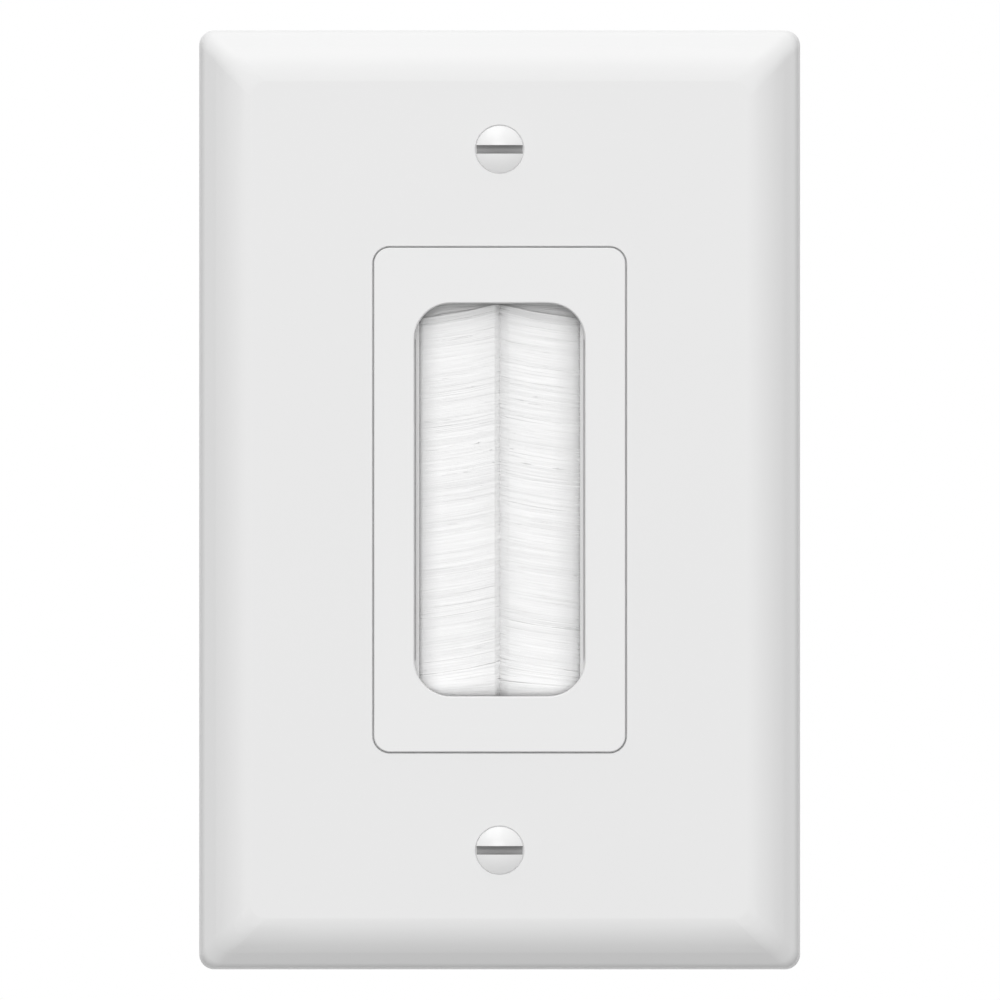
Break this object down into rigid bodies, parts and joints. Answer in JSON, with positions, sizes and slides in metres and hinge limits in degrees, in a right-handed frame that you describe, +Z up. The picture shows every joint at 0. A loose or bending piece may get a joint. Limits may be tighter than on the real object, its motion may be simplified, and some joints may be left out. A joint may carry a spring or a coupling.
{
  "type": "brush pass-through insert with wall plate",
  "caption": "White single-gang wall plate with a flush rectangular insert whose rounded window is closed by facing rows of soft bristles, so that cables pass through the wall.",
  "frame": {"origin": "middle of the insert on the wall's surface, in the plane of the plate's rear rim", "axes": "front faces -Y, +Y goes into the wall, +X is to the right seen from the front, +Z is up"},
  "size_m": [0.08, 0.0242, 0.125],
  "materials": {
    "plate_plastic": "white moulded polycarbonate, semi-gloss",
    "insert_plastic": "white moulded ABS, satin",
    "channel_aluminium": "folded bare sheet",
    "core_wire_steel": "drawn wire",
    "bristle_nylon": "drawn white nylon filaments",
    "screw_paint": "white enamel",
    "screw_zinc": "bright zinc plating"
  },
  "bodies": {
    "root": {"wall_plate": "plate_plastic", "insert_frame": "insert_plastic", "brush_retainer": "insert_plastic", "left_brush_channel": "channel_aluminium", "right_brush_channel": "channel_aluminium", "left_core_wire": "core_wire_steel", "right_core_wire": "core_wire_steel", "left_bristles": "bristle_nylon", "right_bristles": "bristle_nylon", "plate_screws": "screw_paint", "box_screws": "screw_zinc"}
  },
  "joints": []
}
